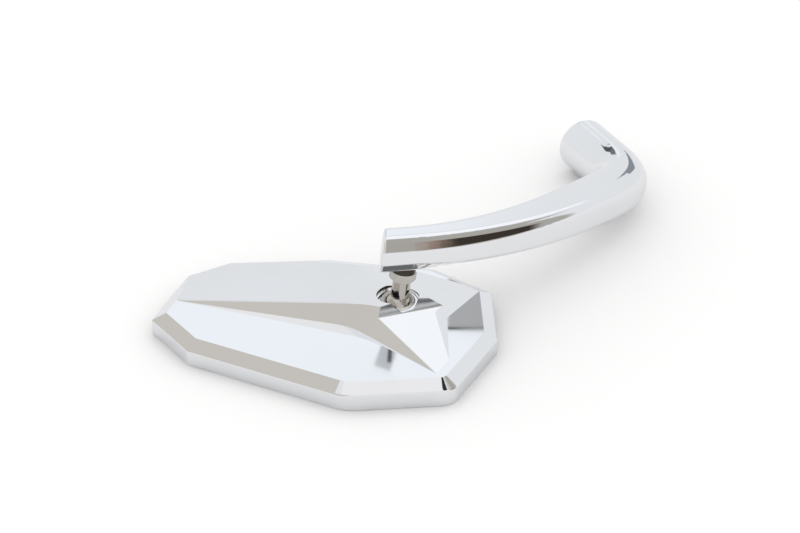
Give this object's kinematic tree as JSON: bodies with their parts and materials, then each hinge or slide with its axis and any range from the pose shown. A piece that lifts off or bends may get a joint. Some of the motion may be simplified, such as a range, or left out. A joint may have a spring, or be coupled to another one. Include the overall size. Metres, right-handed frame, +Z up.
{
  "type": "motorcycle mirror",
  "caption": "Faceted chrome motorcycle mirror head on a ball stud, carried by a curved arm whose round boss has a blind threaded socket for a handlebar adapter.",
  "frame": {"origin": "on the axis of the threaded socket in the arm's boss, 1.25 mm below its mouth, at the first full turn of the thread", "axes": "+X along the head from its long tip to its short end, +Y away from the viewer of the picture, +Z up from the surface the head's rim lies on"},
  "size_m": [0.1982, 0.1769, 0.0465],
  "materials": {
    "housing_chrome": "bright chrome plating on a die casting",
    "arm_chrome": "bright chrome plating on a die casting",
    "stud_steel": "satin nickel on turned steel",
    "seat_plastic": "natural moulded plastic",
    "zinc_steel": "bright zinc plating",
    "mirror_glass": "silvered convex glass",
    "foam_tape": "black closed-cell foam"
  },
  "bodies": {
    "arm": {"mirror_arm": "arm_chrome", "ball_stud": "stud_steel"},
    "seat_below": {"lower_ball_seat": "seat_plastic"},
    "seat_above": {"upper_ball_seat": "seat_plastic"},
    "head": {"mirror_housing": "housing_chrome", "mirror_glass": "mirror_glass", "glass_tape": "foam_tape", "clamp_plate": "zinc_steel", "clamp_screws": "zinc_steel", "spring_washers": "zinc_steel"}
  },
  "joints": [
    {"name": "head_swivel", "type": "hinge", "parent": "arm", "child": "seat_below", "pos_m": [-0.079, -0.12151, 0.00015], "axis": [0.1305, 0.1122, 0.9851], "continuous": true},
    {"name": "head_nod", "type": "hinge", "parent": "seat_below", "child": "seat_above", "pos_m": [-0.079, -0.12151, 0.00015], "axis": [1, 0, 0], "range_deg": [-12, 12]},
    {"name": "head_tilt", "type": "hinge", "parent": "seat_above", "child": "head", "pos_m": [-0.079, -0.12151, 0.00015], "axis": [0, 1, 0], "range_deg": [-12, 25]}
  ]
}
